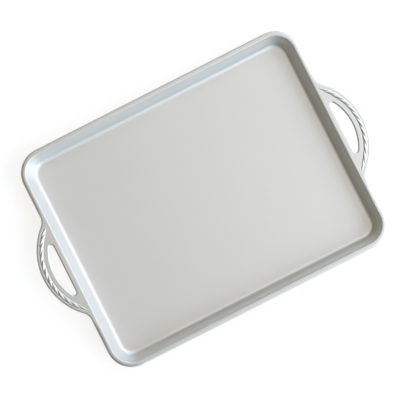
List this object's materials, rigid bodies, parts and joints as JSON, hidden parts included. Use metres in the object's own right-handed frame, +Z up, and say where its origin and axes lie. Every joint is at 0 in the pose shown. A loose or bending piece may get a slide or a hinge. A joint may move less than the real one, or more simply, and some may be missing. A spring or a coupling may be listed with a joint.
{
  "type": "jelly roll pan",
  "caption": "Shallow rectangular cast baking tray with sloping walls, round corners, a thick rim and a slotted crescent handle with rope relief at each end.",
  "frame": {"origin": "on the table under the middle of the pan", "axes": "+X along the pan from the left handle to the right handle, +Y across it, +Z up"},
  "size_m": [0.472, 0.316, 0.0303],
  "materials": {
    "baking_surface": "satin, very finely blasted",
    "cast_body": "satin cast",
    "rope_relief": "satin, polished on the crests"
  },
  "bodies": {
    "root": {"baking_floor": "baking_surface", "side_wall": "cast_body", "rim": "cast_body", "left_handle": "cast_body", "right_handle": "cast_body", "left_rope_trim": "rope_relief", "right_rope_trim": "rope_relief"}
  },
  "joints": []
}
